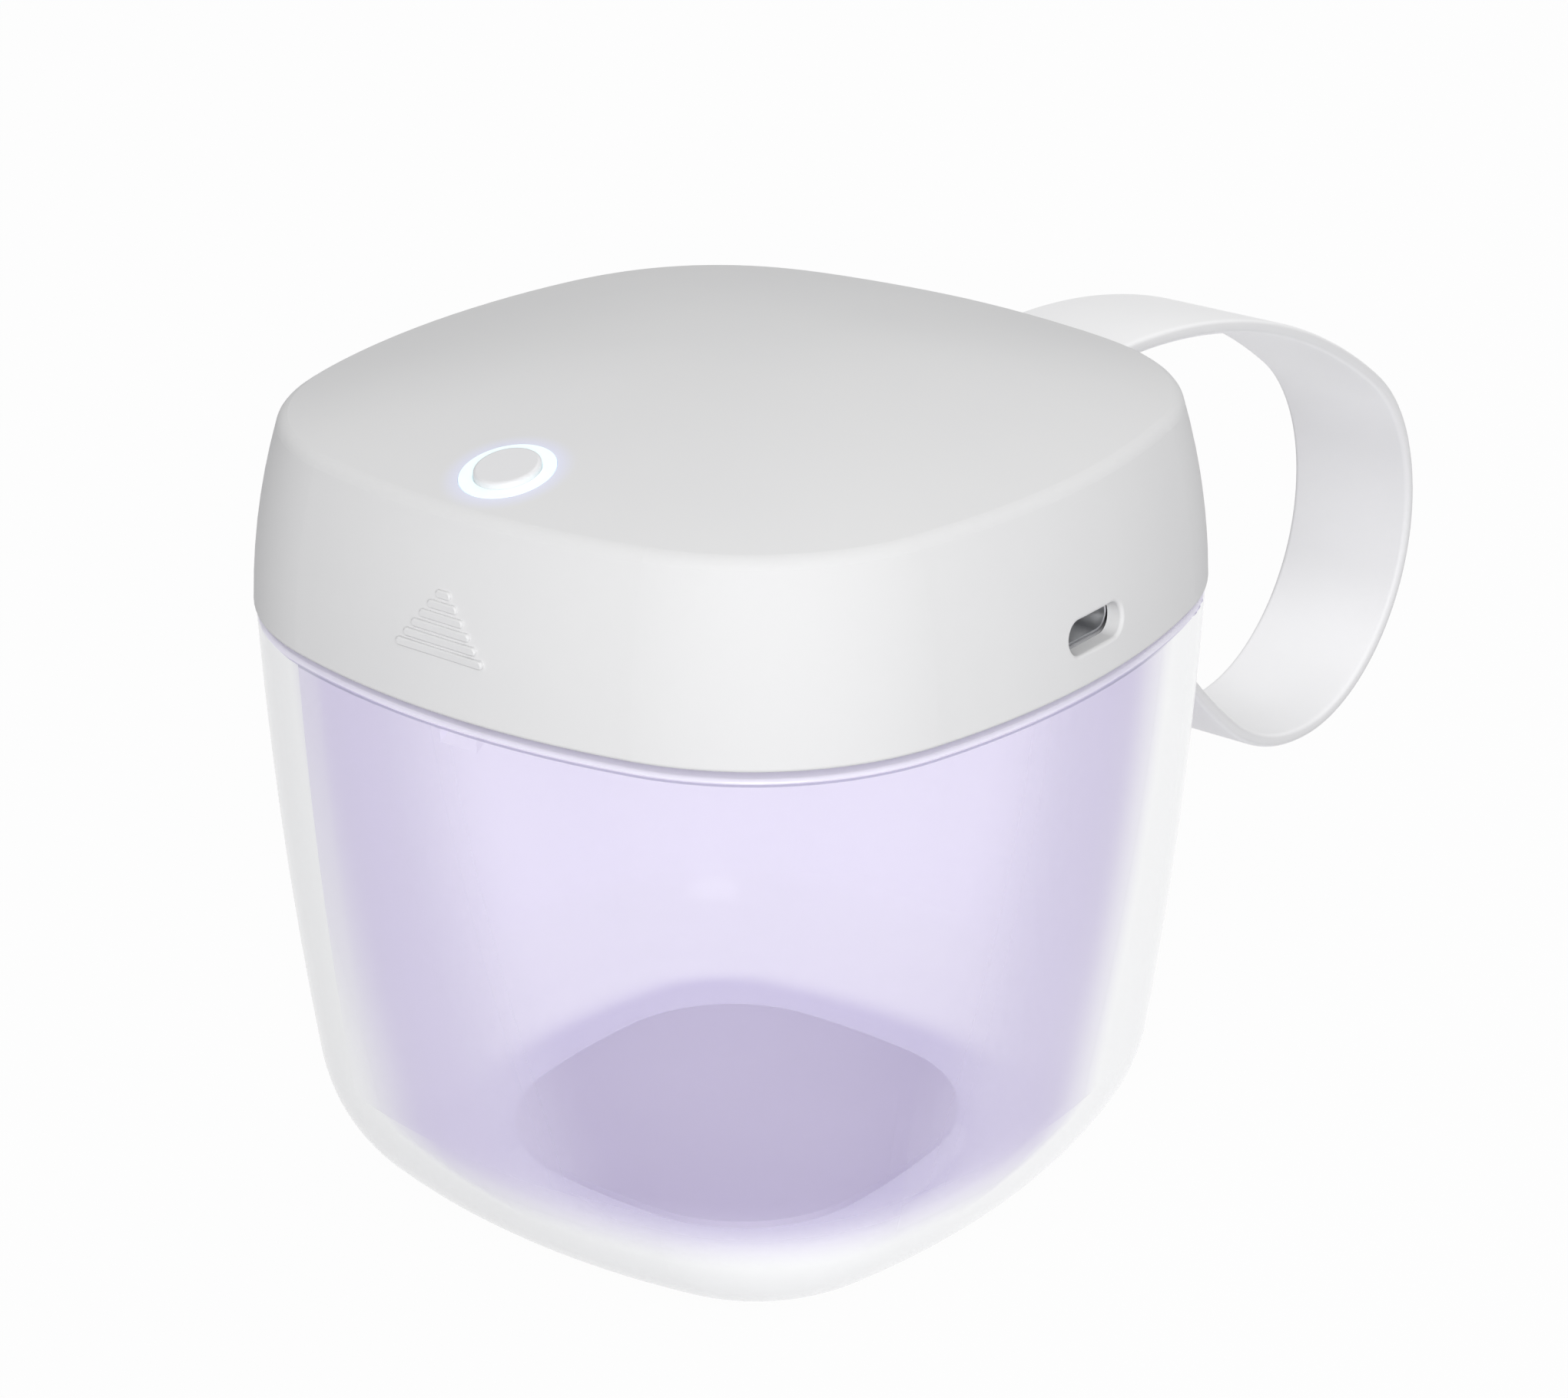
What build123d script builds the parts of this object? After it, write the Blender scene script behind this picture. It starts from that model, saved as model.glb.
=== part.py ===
from build123d import *
from math import atan2, cos, degrees, hypot, radians, sin, sqrt
import os

# Portable pacifier sterilizer case, in millimetres. A clear cup holds the pacifiers. The lid holds
# the ultraviolet lamps, the battery and the boards, has one push button with a light ring round it,
# and swings on a pin at the rear. A wide soft strap loops from the lid's rear wall to that pin.
#
# Origin: centre of the underside. +Z is up, -Y is the front (button), +Y the rear (hinge and
# strap), +X the side with the charging socket.

# ---------------------------------------------------------------- clearances
MOVING_GAP = 0.4            # between the lid's pieces and the cup's
SLIDE_GAP = 0.08            # round the button cap
PIN_GAP = 0.05              # round the hinge pin
SEAT_GAP = 0.05             # between pieces that drop into each other

# ---------------------------------------------------------------- case outline
# Every level of the case is a rounded square: bowed sides of one radius, corners of another.
DEPTH_EXTRA = 0.36          # the half depth is this much over the half width
CASE_HALF_WIDTH = 45.0      # at the lid's lower rim
CASE_SIDE_RADIUS = 88.7
CASE_CORNER_RADIUS = 28.4

# ---------------------------------------------------------------- cup
CUP_HEIGHT = 67.2
CUP_RIM_STEP = 0.25         # the cup's rim stands this far inside the lid's
CUP_WALL = 2.3
CUP_RIM_ROUND = 0.5
CUP_TAPER = 6.8             # the side's line meets the ground this far inside the rim
CUP_SWELL = 1.15            # and bows out by this at half height
CUP_FOOT_ROUND = 19.3       # turn from the side to the flat that the case stands on
CUP_INNER_ROUND = 12.0      # the same turn inside the cup
CUP_FLOOR_THICKNESS = 4.6
CORE_CORNER_RADIUS = 2.2    # of the flat in the middle of the base
LIP_RISE = 2.6              # the lip inside the rim stands this far over it
LIP_DEPTH = 2.4             # and reaches this far below it
LIP_THICKNESS = 1.6
LIP_EDGE_ROUND = 0.4
FLOOR_PLATE_HALF_WIDTH = 22.0
FLOOR_PLATE_SIDE_RADIUS = 80.2
FLOOR_PLATE_CORNER_RADIUS = 15.9
FLOOR_PLATE_THICKNESS = 0.8

# ---------------------------------------------------------------- lid
SEAM_GAP = 0.8
LID_HEIGHT = 19.7           # from its rim to the crease round its top
LID_LEAN = 3.5              # half width lost over that height
LID_SWELL = 0.73
LID_CROWN = 6.1             # rise of the domed top over the crease
LID_WALL = 1.8
LID_TOP_WALL = 2.0
LID_EDGE_ROUND = 1.7
LID_RIM_ROUND = 0.4
DOME_SPACES = 12            # between the heights that shape the domed top, each way
DOME_OVERHANG = 6.0         # the surface that cuts the top reaches this far past the crease

# ---------------------------------------------------------------- hinge
HINGE_PIN_RADIUS = 0.8
HINGE_PIN_CHAMFER = 0.2
HINGE_OVERHANG = 2.84       # from the lid's rear face to the pin's axis
KNUCKLE_RADIUS = 2.5
LID_KNUCKLE_NEAR = 9.3      # from the middle plane
LID_KNUCKLE_FAR = 15.3
CUP_KNUCKLE_NEAR = 15.6
CUP_KNUCKLE_FAR = 22.0
LID_LEAF_HEIGHT = 7.6
CUP_LEAF_HEIGHT = 10.5

# ---------------------------------------------------------------- strap
STRAP_WIDTH = 17.0
STRAP_THICKNESS = 1.7
STRAP_Z = 78.4              # where it leaves the lid's rear wall
STRAP_EYE_RADIUS = 2.4
STRAP_STRAIGHT = 14.5       # from the lid's rear wall to the first bend
STRAP_TOP_RADIUS = 101.0
STRAP_TOP_TURN = 35.7
STRAP_SHOULDER_RADIUS = 25.4
STRAP_SHOULDER_TURN = 55.4
STRAP_BOTTOM_RADIUS = 22.6
STRAP_BOTTOM_TURN = 89.1
STRAP_RETURN_RADIUS = 30.2
STRAP_RETURN_TURN = 38.0
STRAP_RISE_RADIUS = 97.4
STRAP_RISE_TURN = 12.5
STRAP_KEY_WIDTH = 21.0      # the thick end that keeps it in the lid
STRAP_KEY_HEIGHT = 3.6
STRAP_KEY_LENGTH = 2.4
STRAP_KEY_ROUND = 0.85
STRAP_KEY_GAP = 0.3         # to the lid's inner wall

# ---------------------------------------------------------------- button and light ring
BUTTON_INSET = 7.36         # its axis stands this far behind the crease's front
BUTTON_RADIUS = 3.3
BUTTON_PROUD = 0.65
BUTTON_TRAVEL = 0.5
BUTTON_FLANGE_RADIUS = 4.2
BUTTON_FLANGE_HEIGHT = 0.9
BUTTON_EDGE_ROUND = 0.35
BUTTON_STOP_GAP = 0.2       # flange to ring, at rest
BUTTON_STEM_RADIUS = 1.5
RING_WIDTH = 1.35
RING_FLANGE_WIDTH = 1.3
RING_FLANGE_HEIGHT = 1.0
RING_SEAT_DEPTH = 4.45      # the ring's seat stands this far under the lid's top
SWITCH_SIZE = 6.0
SWITCH_HEIGHT = 2.4
SWITCH_CORNER = 0.5
PLUNGER_RADIUS = 1.6
PLUNGER_RISE = 1.1          # over the switch body, at rest
PLUNGER_SUNK = 1.1          # inside the switch body, at rest
PLUNGER_SPARE = 0.1         # left under the plunger when it is pressed
BUTTON_STEM_LENGTH = 0.6    # from the cap's flange down to the plunger
BUTTON_BOARD_WIDTH = 24.0
BUTTON_BOARD_LENGTH = 17.0
BUTTON_BOARD_CORNER = 3.0
BUTTON_BOARD_SHIFT = 2.4    # its middle is this far behind the button
BUTTON_POST_X = 9.0         # from the middle plane
BUTTON_POST_SHIFT = 6.5     # behind the button
BUTTON_POST_RADIUS = 2.0
BUTTON_SCREW_LENGTH = 4.0
STATUS_LAMP_SIZE = 1.6
STATUS_LAMP_HEIGHT = 0.8
STATUS_LAMP_SHIFT = 4.2     # from the button's axis, both ways

# ---------------------------------------------------------------- thumb ribs under the button
RIB_COUNT = 6
RIB_PITCH = 1.12
RIB_RADIUS = 0.42
RIB_RISE = 6.3              # the lowest and longest rib stands this far over the lid's rim
RIB_LONGEST = 11.0
RIB_SHORTEST = 1.9
RIB_PROUD = 0.28
RIB_CHAMFER = 0.14

# ---------------------------------------------------------------- charging socket
SOCKET_Y = 0.5
SOCKET_WIDTH = 8.94         # outside of the metal shell
SOCKET_HEIGHT = 3.26
SOCKET_WALL = 0.3
SOCKET_LENGTH = 7.3
SOCKET_RECESS = 2.4         # the shell's mouth stands this far inside the lid's side
TONGUE_WIDTH = 6.69
TONGUE_HEIGHT = 0.7
TONGUE_LENGTH = 5.6
TONGUE_BASE_LENGTH = 0.9
PORT_GAP = 0.13             # round the shell, in the lid's wall
PORT_ROUND = 0.35

# ---------------------------------------------------------------- inner cover and lamps
COVER_WALL = 1.1
COVER_DROP = 0.1            # its underside hangs this far below the lid's rim
COVER_CHAMFER = 0.4
COVER_FLANGE = 1.2
COVER_RIM_GAP = 0.5         # flange edge to the lid's inner wall, at the rim
COVER_LIP_GAP = 0.3         # flange underside to the cup's lip
SEAL_HEIGHT = 0.8
SEAL_WIDTH = 1.2
SEAL_DEPTH = 0.6            # of the groove that holds it
WINDOW_WIDTH = 10.0
WINDOW_LENGTH = 44.0
WINDOW_CORNER = 4.7
WINDOW_LAP = 1.5
WINDOW_THICKNESS = 0.8
LAMP_SIZE = 3.5
LAMP_HEIGHT = 0.7
LAMP_LENS_RADIUS = 1.2
LAMP_LENS_RISE = 0.2        # of the lens over the lamp's base
LAMP_PITCH = 16.0
LAMP_COUNT = 3

# ---------------------------------------------------------------- boards, battery and screws
BOARD_THICKNESS = 1.0
BOARD_POST_GAP = 0.5        # between the main board and the lid's posts
BOARD_END_INSET = 12.0      # the board's ends stand this far inside the case
BOARD_CORNER = 6.0
BOARD_TAB_WIDTH = 17.0
BOARD_TAB_INSET = 4.2       # the socket's mouth overhangs its tab by this
BOARD_SCREW_INSET = 4.0     # from the board's edges
STANDOFF_RADIUS = 2.2
BATTERY_WIDTH = 40.0
BATTERY_LENGTH = 30.0
BATTERY_HEIGHT = 6.0
BATTERY_OVERHANG = 1.0      # past the board's side away from the socket
BATTERY_Y = 5.0
BATTERY_ROUND = 1.5
PAD_THICKNESS = 1.0
SCREW_RADIUS = 0.85
SCREW_HEAD_RADIUS = 1.7
SCREW_HEAD_HEIGHT = 1.2
SCREW_HEAD_CHAMFER = 0.3
BOARD_SCREW_LENGTH = 1.9
LID_SCREW_INSET = 17.5      # from the case's sides
LID_SCREW_LENGTH = 8.0
LID_SCREW_PAD = 1.1         # plastic clamped under each head
PAD_RADIUS = 3.2
POST_RADIUS = 3.0
MAGNET_RADIUS = 1.5
MAGNET_HEIGHT = 2.0
MAGNET_INSET = 3.6          # from the lid's front inner wall
MAGNET_SKIN = 0.8           # plastic round each magnet
SENSOR_WIDTH = 3.0
SENSOR_LENGTH = 1.6
SENSOR_HEIGHT = 1.1
FLEX_WIDTH = 6.0
FLEX_THICKNESS = 0.2
FLEX_LEG = 3.0
FLEX_BEND = 1.2
CONTROLLER_SIZE = 5.0
CONTROLLER_X = -10.0
DRIVER_WIDTH = 4.0
DRIVER_LENGTH = 3.0
DRIVER_X = 9.0
CHARGER_SIZE = 3.0
CHIP_HEIGHT = 0.9
COIL_SIZE = 5.0
COIL_HEIGHT = 2.2
COIL_CORNER = 1.0
COIL_X = 15.0

# ---------------------------------------------------------------- places worked out
LID_Z = CUP_HEIGHT + SEAM_GAP
CREASE_Z = LID_Z + LID_HEIGHT
SKY_Z = CREASE_Z + 2 * LID_CROWN
CASE_HALF_DEPTH = CASE_HALF_WIDTH + DEPTH_EXTRA
HINGE_Y = CASE_HALF_DEPTH + HINGE_OVERHANG
HINGE_Z = CUP_HEIGHT + SEAM_GAP / 2
LIP_TOP_Z = CUP_HEIGHT + LIP_RISE
COVER_Z = LID_Z - COVER_DROP
COVER_FLOOR_Z = COVER_Z + COVER_WALL
FLANGE_Z = LIP_TOP_Z + COVER_LIP_GAP
FLANGE_TOP_Z = FLANGE_Z + COVER_FLANGE
WINDOW_Z = COVER_FLOOR_Z
BOARD_Z = WINDOW_Z + WINDOW_THICKNESS + SEAT_GAP + LAMP_HEIGHT
BOARD_TOP_Z = BOARD_Z + BOARD_THICKNESS
PAD_TOP_Z = BOARD_TOP_Z + PAD_THICKNESS
LID_SCREW_PLACE = CASE_HALF_WIDTH - LID_SCREW_INSET
BOARD_WIDTH = 2 * (LID_SCREW_PLACE - POST_RADIUS - BOARD_POST_GAP)
BOARD_LENGTH = 2 * (CASE_HALF_WIDTH - BOARD_END_INSET)
BOARD_SCREW_X = BOARD_WIDTH / 2 - BOARD_SCREW_INSET
BOARD_SCREW_Y = BOARD_LENGTH / 2 - BOARD_SCREW_INSET
BATTERY_X = BATTERY_WIDTH / 2 - BOARD_WIDTH / 2 - BATTERY_OVERHANG
SCREW_SEAT_Z = COVER_Z + SCREW_HEAD_HEIGHT
LID_POST_Z = SCREW_SEAT_Z + LID_SCREW_PAD + SEAT_GAP
MAGNET_Y = MAGNET_INSET + LID_WALL - CASE_HALF_DEPTH
MAGNET_BOSS_RADIUS = MAGNET_RADIUS + SEAT_GAP + MAGNET_SKIN
SOCKET_Z = BOARD_TOP_Z + SEAT_GAP + SOCKET_HEIGHT / 2
SOCKET_MOUTH_X = CASE_HALF_WIDTH - SOCKET_RECESS
SOCKET_REAR_X = SOCKET_MOUTH_X - SOCKET_LENGTH
RING_INNER = BUTTON_RADIUS + SLIDE_GAP
RING_OUTER = RING_INNER + RING_WIDTH
RING_FLANGE = RING_OUTER + RING_FLANGE_WIDTH
RING_BOSS = RING_FLANGE + LID_WALL


class Level:
    """One height of the case: a rounded square with bowed sides."""

    def __init__(self, half, side, corner, z=0.0, extra=DEPTH_EXTRA):
        self.half = half
        self.side = side
        self.corner = corner
        self.z = z
        self.extra = extra
        self.shift_x = side - half
        self.shift_y = side - half - extra

    def inset(self, distance):
        """The same level moved in parallel to itself."""
        return Level(self.half - distance, self.side - distance, self.corner - distance, self.z, self.extra)

    def at(self, z):
        return Level(self.half, self.side, self.corner, z, self.extra)

    def corner_centre(self):
        """Centre of the corner arc that touches both bowed sides."""
        slope = self.shift_x / self.shift_y
        offset = (self.shift_x**2 - self.shift_y**2) / (2 * self.shift_y)
        a = 1 + slope**2
        b = 2 * (self.shift_x + slope * offset)
        c = self.shift_x**2 + offset**2 - (self.side - self.corner) ** 2
        x = (-b + sqrt(b * b - 4 * a * c)) / (2 * a)
        return x, slope * x + offset

    def arcs(self):
        """Centre, radius, start and sweep of each arc, round from the +X side."""
        x, y = self.corner_centre()
        right = degrees(atan2(y, x + self.shift_x))
        top = degrees(atan2(x, y + self.shift_y))
        sweep = 90 - right - top
        return [
            ((-self.shift_x, 0), self.side, -right, 2 * right),
            ((x, y), self.corner, right, sweep),
            ((0, -self.shift_y), self.side, 90 - top, 2 * top),
            ((-x, y), self.corner, 90 + top, sweep),
            ((self.shift_x, 0), self.side, 180 - right, 2 * right),
            ((-x, -y), self.corner, 180 + right, sweep),
            ((0, self.shift_y), self.side, 270 - top, 2 * top),
            ((x, -y), self.corner, 270 + top, sweep),
        ]

    def face(self):
        return Face(Wire([CenterArc((*centre, self.z), *turn) for centre, *turn in self.arcs()]))

    def rear_y(self, x):
        """Where the rear side stands at this x, between the corners."""
        return sqrt(self.side**2 - x**2) - self.shift_y

    def share(self, x, y):
        """How far a point is on its way from the middle to the outline: 0 to 1."""
        x = abs(x)
        y = abs(y)
        if x == y == 0:
            return 0.0
        reach = hypot(x, y)
        corner_x, corner_y = self.corner_centre()
        beside = -self.shift_x * x / reach
        right = beside + sqrt(beside**2 + self.side**2 - self.shift_x**2)
        if right * y / reach * (corner_x + self.shift_x) <= corner_y * (right * x / reach + self.shift_x):
            return reach / right
        beside = -self.shift_y * y / reach
        top = beside + sqrt(beside**2 + self.side**2 - self.shift_y**2)
        if top * x / reach * (corner_y + self.shift_y) <= corner_x * (top * y / reach + self.shift_y):
            return reach / top
        beside = (corner_x * x + corner_y * y) / reach
        return reach / (beside + sqrt(beside**2 + self.corner**2 - corner_x**2 - corner_y**2))


def slab(level, height):
    """Straight-sided plate on a level."""
    return extrude(level.face(), height)


def carried_round(level, profile):
    """Body with this half section, carried round a level's outline.

    Across the profile is minus the inset from the outline, up is the height. It reaches in to the
    core's outline, where its upright edge gives the plate in the middle.
    """
    middle_edge = profile.edges().sort_by(Axis.X)[0].bounding_box()
    body = slab(level.inset(CORE_INSET).at(middle_edge.min.Y), middle_edge.size.Y)
    for centre, radius, start, sweep in level.arcs():
        out = Vector(cos(radians(start)), sin(radians(start)))
        place = Plane(origin=Vector(*centre) + out * radius, x_dir=out, z_dir=(out.Y, -out.X, 0))
        body += revolve(place * profile, Axis((*centre, 0), (0, 0, 1)), sweep)
    return body


def rounded(profile, across, up, radius):
    """The profile with its corner nearest to a point rounded."""
    corner = profile.vertices().sort_by_distance((across, up, 0))[0]
    return fillet(corner, radius)


def disc(x, y, radius, low, high):
    """Upright cylinder between two heights."""
    return Pos(x, y, low) * extrude(Circle(radius), high - low)


def plate(x, y, width, length, low, high, corner=0.0):
    """Upright block, its upright edges rounded where a corner radius is given."""
    outline = RectangleRounded(width, length, corner) if corner else Rectangle(width, length)
    return Pos(x, y, low) * extrude(outline, high - low)


def across(profile, near, far):
    """Extrude a profile drawn in Y and Z along X, from near to far."""
    return Pos(near, 0, 0) * extrude(Plane.YZ * profile, far - near)


def corners(x, y):
    """The four places at these distances from the middle planes."""
    return [(side * x, end * y) for side in (-1, 1) for end in (-1, 1)]


# ---------------------------------------------------------------- outlines at named heights
LID_RIM = Level(CASE_HALF_WIDTH, CASE_SIDE_RADIUS, CASE_CORNER_RADIUS, LID_Z)
CREASE = LID_RIM.inset(LID_LEAN).at(CREASE_Z)
CUP_RIM = LID_RIM.inset(CUP_RIM_STEP).at(CUP_HEIGHT)
CORE_INSET = CUP_RIM.corner - CORE_CORNER_RADIUS
LIP = LID_RIM.inset(LID_WALL + MOVING_GAP)
SEAL = LIP.inset((LIP_THICKNESS - SEAL_WIDTH) / 2)
FLANGE = LID_RIM.inset(LID_WALL + COVER_RIM_GAP)
DISH = LIP.inset(LIP_THICKNESS + MOVING_GAP)


# ---------------------------------------------------------------- outside of the lid
def lid_inset(z):
    """How far the lid's side has leaned in at a height. It swells slightly on its way."""
    share = (z - LID_Z) / LID_HEIGHT
    return LID_LEAN * share - 4 * LID_SWELL * share * (1 - share)


def dome_z(y):
    """Height of the lid's top on the middle plane."""
    return CREASE_Z + LID_CROWN * (1 - CREASE.share(0, y) ** 2)


def under_dome(drop):
    """All that lies under the domed top, moved down by this much."""
    reach = CREASE.half + DOME_OVERHANG
    places = [reach * (2 * step / DOME_SPACES - 1) for step in range(DOME_SPACES + 1)]
    rows = []
    for x in places:
        heights = [CREASE_Z - drop + LID_CROWN * (1 - CREASE.share(x, y) ** 2) for y in places]
        rows.append([Vector(x, y, z) for y, z in zip(places, heights)])
    top = Face.make_surface_from_array_of_points(rows, tol=SEAT_GAP / 2, min_deg=3, max_deg=3)
    return extrude(top, 2 * LID_HEIGHT, dir=(0, 0, -1))


def lid_side(wall):
    """Half section inside the lid's side, at this depth in its wall."""
    top_z = CREASE_Z + LID_HEIGHT / 4
    middle_z = (LID_Z + top_z) / 2
    side = ThreePointArc(
        (-wall, LID_Z), (-wall - lid_inset(middle_z), middle_z), (-wall - lid_inset(top_z), top_z)
    )
    above = (-wall - lid_inset(top_z), SKY_Z)
    rest = Polyline(side @ 1, above, (-CORE_INSET, SKY_Z), (-CORE_INSET, LID_Z), side @ 0)
    return make_face([side, *rest.edges()])


def lid_outside():
    """The lid's closed outer form, with its crease and its lower edge rounded."""
    profile = rounded(lid_side(0), 0, LID_Z, LID_RIM_ROUND)
    body = carried_round(LID_RIM, profile) & under_dome(0)
    creases = [edge for edge in body.edges() if abs(edge.center().Z - CREASE_Z) < LID_RIM_ROUND]
    return fillet(creases, LID_EDGE_ROUND)


def lid_inside():
    """The lid's cavity: its side wall and its top keep their own thicknesses."""
    return carried_round(LID_RIM, lid_side(LID_WALL)) & under_dome(LID_TOP_WALL)


# ---------------------------------------------------------------- places round the button
BUTTON_Y = BUTTON_INSET - CREASE.half - CREASE.extra
RING_SEAT_Z = dome_z(BUTTON_Y) - RING_SEAT_DEPTH
BUTTON_FLANGE_TOP_Z = RING_SEAT_Z - BUTTON_STOP_GAP
BUTTON_FLANGE_Z = BUTTON_FLANGE_TOP_Z - BUTTON_FLANGE_HEIGHT
PLUNGER_TOP_Z = BUTTON_FLANGE_Z - BUTTON_STEM_LENGTH
SWITCH_TOP_Z = PLUNGER_TOP_Z - PLUNGER_RISE
BUTTON_BOARD_TOP_Z = SWITCH_TOP_Z - SWITCH_HEIGHT
BUTTON_BOARD_Z = BUTTON_BOARD_TOP_Z - BOARD_THICKNESS
BUTTON_BOARD_Y = BUTTON_Y + BUTTON_BOARD_SHIFT
BUTTON_POST_Y = BUTTON_Y + BUTTON_POST_SHIFT
BUTTON_POSTS = [(-BUTTON_POST_X, BUTTON_POST_Y), (BUTTON_POST_X, BUTTON_POST_Y)]
LID_SCREWS = corners(LID_SCREW_PLACE, LID_SCREW_PLACE)
BOARD_SCREWS = corners(BOARD_SCREW_X, BOARD_SCREW_Y)
KNUCKLES_ON_CUP = [(CUP_KNUCKLE_NEAR, CUP_KNUCKLE_FAR), (-CUP_KNUCKLE_FAR, -CUP_KNUCKLE_NEAR)]
KNUCKLES_ON_LID = [(LID_KNUCKLE_NEAR, LID_KNUCKLE_FAR), (-LID_KNUCKLE_FAR, -LID_KNUCKLE_NEAR)]


def under_button(radius, low, proud):
    """Upright cylinder whose top follows the dome's slope at the button, this proud of it."""
    rise = dome_z(BUTTON_Y + SEAT_GAP) - dome_z(BUTTON_Y - SEAT_GAP)
    slope = Plane(
        origin=(0, BUTTON_Y, dome_z(BUTTON_Y) + proud), x_dir=(1, 0, 0), z_dir=(0, -rise, 2 * SEAT_GAP)
    )
    below = slope * Pos(0, 0, -LID_HEIGHT) * Box(4 * radius, 4 * radius, 2 * LID_HEIGHT)
    return disc(0, BUTTON_Y, radius, low, SKY_Z) & below


# ---------------------------------------------------------------- hinge knuckles
def knuckle(near, far, root_y, low, high):
    """Barrel round the pin, carried by a leaf that runs along the wall between two heights."""
    barrel = Pos(HINGE_Y, HINGE_Z) * Circle(KNUCKLE_RADIUS)
    root = Line((root_y, low), (root_y, high))
    web = make_hull([*barrel.edges(), root])
    reach = HINGE_Y - root_y + KNUCKLE_RADIUS
    if low > HINGE_Z:
        open_side = Pos(root_y + reach / 2, low - reach / 2) * Rectangle(reach, reach)
    else:
        open_side = Pos(root_y + reach / 2, high + reach / 2) * Rectangle(reach, reach)
    return across(web - open_side + barrel, near, far)


def pin_hole(low_x, high_x):
    return across(Pos(HINGE_Y, HINGE_Z) * Circle(HINGE_PIN_RADIUS + PIN_GAP), low_x, high_x)


# ---------------------------------------------------------------- cup pieces
def cup_side(wall):
    """Half section inside the cup's side, at this depth in its wall."""
    side = ThreePointArc(
        (-wall - CUP_TAPER, 0), (-wall - CUP_TAPER / 2 + CUP_SWELL, CUP_HEIGHT / 2), (-wall, CUP_HEIGHT)
    )
    rest = Polyline(side @ 1, (-CORE_INSET, CUP_HEIGHT), (-CORE_INSET, 0), side @ 0)
    return make_face([side, *rest.edges()])


def cup_hollow():
    """Half section of the room in the cup, with the turn from its side to its floor."""
    below = Pos(-CORE_INSET / 2, 0) * Rectangle(2 * CORE_INSET, 2 * CUP_FLOOR_THICKNESS)
    room = cup_side(CUP_WALL) - below
    return rounded(room, -CUP_WALL - CUP_TAPER, CUP_FLOOR_THICKNESS, CUP_INNER_ROUND)


def cup_lip():
    """Half section of the lip that the lid closes over, sloped below so that it moulds cleanly."""
    outer = CUP_RIM_STEP - LID_WALL - MOVING_GAP
    inner = outer - LIP_THICKNESS
    low = CUP_HEIGHT - LIP_DEPTH
    slope_z = low + LIP_THICKNESS
    edge = Polyline((outer, low), (outer, LIP_TOP_Z), (inner, LIP_TOP_Z), (inner, slope_z), close=True)
    lip = rounded(make_face(edge), outer, LIP_TOP_Z, LIP_EDGE_ROUND)
    return rounded(lip, inner, LIP_TOP_Z, LIP_EDGE_ROUND)


def magnet_boss(grow, low, high):
    """Upright boss between the cup's front wall and the magnet, rounded at its inner end."""
    radius = MAGNET_BOSS_RADIUS + grow
    run = plate(0, MAGNET_Y - radius, 2 * radius, 2 * radius, low, high)
    return run + disc(0, MAGNET_Y, radius, low, high)


def cup_magnet_boss():
    """The boss in the cup: it slopes back to the wall below and stays inside the lip's outline."""
    low = LIP_TOP_Z - MAGNET_HEIGHT - MAGNET_SKIN
    foot = low - 2 * MAGNET_BOSS_RADIUS
    inner_y = MAGNET_Y + MAGNET_BOSS_RADIUS
    wall_y = -CUP_RIM.half
    side = make_face(
        Polyline((inner_y, LIP_TOP_Z), (inner_y, low), (wall_y, foot), (wall_y, LIP_TOP_Z), close=True)
    )
    block = across(side, -MAGNET_BOSS_RADIUS, MAGNET_BOSS_RADIUS)
    return block & magnet_boss(0, foot, LIP_TOP_Z) & slab(LIP.at(0), LIP_TOP_Z)


def make_cup_shell():
    outside = rounded(cup_side(0), -CUP_TAPER, 0, CUP_FOOT_ROUND)
    outside = rounded(outside, 0, CUP_HEIGHT, CUP_RIM_ROUND)
    shell = carried_round(CUP_RIM, outside - cup_hollow() + cup_lip())
    wall_middle = slab(CUP_RIM.inset(CUP_WALL / 2).at(0), CUP_HEIGHT)
    root_y = CUP_RIM.rear_y(CUP_KNUCKLE_FAR) - CUP_WALL
    for near, far in KNUCKLES_ON_CUP:
        shell += knuckle(near, far, root_y, CUP_HEIGHT - CUP_LEAF_HEIGHT, CUP_HEIGHT) - wall_middle
    shell += cup_magnet_boss()
    shell -= disc(0, MAGNET_Y, MAGNET_RADIUS + SEAT_GAP, LIP_TOP_Z - MAGNET_HEIGHT, SKY_Z)
    return shell - pin_hole(-CUP_KNUCKLE_FAR, CUP_KNUCKLE_FAR)


def make_floor_plate():
    level = Level(
        FLOOR_PLATE_HALF_WIDTH, FLOOR_PLATE_SIDE_RADIUS, FLOOR_PLATE_CORNER_RADIUS, CUP_FLOOR_THICKNESS
    )
    return slab(level, FLOOR_PLATE_THICKNESS)


def make_cup_magnet():
    return disc(0, MAGNET_Y, MAGNET_RADIUS, LIP_TOP_Z - MAGNET_HEIGHT, LIP_TOP_Z - SEAT_GAP)


def make_hinge_pin():
    half = CUP_KNUCKLE_FAR - SEAT_GAP
    pin = across(Pos(HINGE_Y, HINGE_Z) * Circle(HINGE_PIN_RADIUS), -half, half)
    ends = [edge for edge in pin.edges() if edge.geom_type == GeomType.CIRCLE]
    return chamfer(ends, HINGE_PIN_CHAMFER)


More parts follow.
